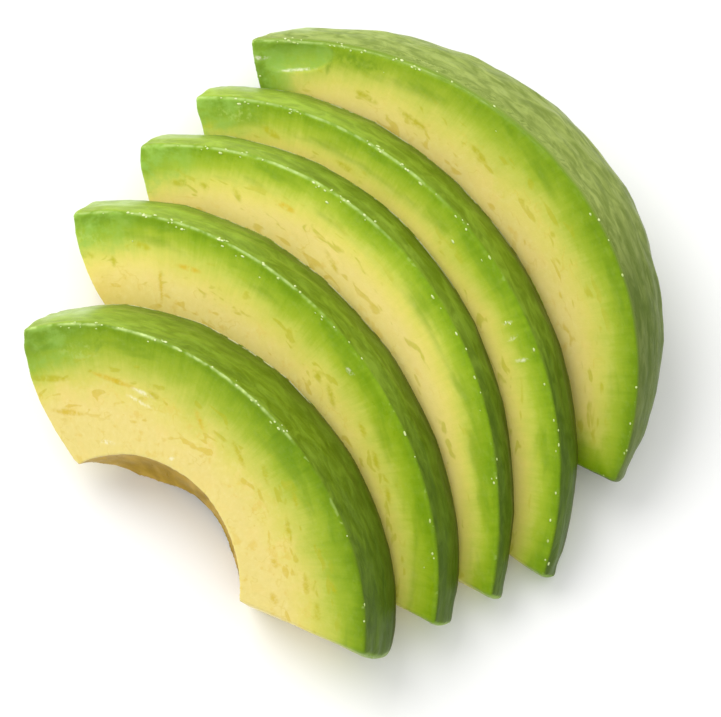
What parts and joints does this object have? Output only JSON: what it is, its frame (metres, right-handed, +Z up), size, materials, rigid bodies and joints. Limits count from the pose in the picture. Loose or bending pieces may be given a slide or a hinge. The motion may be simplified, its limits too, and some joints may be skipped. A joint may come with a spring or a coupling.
{
  "type": "sliced avocado half",
  "caption": "Peeled avocado half cut lengthwise into leaning crescent slices, fanned out, with the pit's hollow in the front slice and a domed end piece at the back.",
  "frame": {"origin": "centre of the overall bounding box in X and Y, at the level of the board that the slices lie on", "axes": "+Z up from the board; the slices lean up towards +X and +Y, and the front slice with the pit's hollow is at -X, -Y"},
  "size_m": [0.0952, 0.0986, 0.027],
  "materials": {
    "slice_1_flesh": "moist cut flesh, a low gloss, green at the rim and pale yellow towards the middle",
    "slice_2_flesh": "moist cut flesh, a low gloss, green at the rim and pale yellow towards the middle",
    "slice_3_flesh": "moist cut flesh, a low gloss, green at the rim and pale yellow towards the middle",
    "slice_4_flesh": "moist cut flesh, a low gloss, green at the rim and pale yellow towards the middle",
    "slice_5_flesh": "moist cut flesh, a low gloss, green at the rim and pale yellow towards the middle"
  },
  "bodies": {
    "root": {"slice_1": "slice_1_flesh", "slice_2": "slice_2_flesh", "slice_3": "slice_3_flesh", "slice_4": "slice_4_flesh", "slice_5": "slice_5_flesh"}
  },
  "joints": []
}
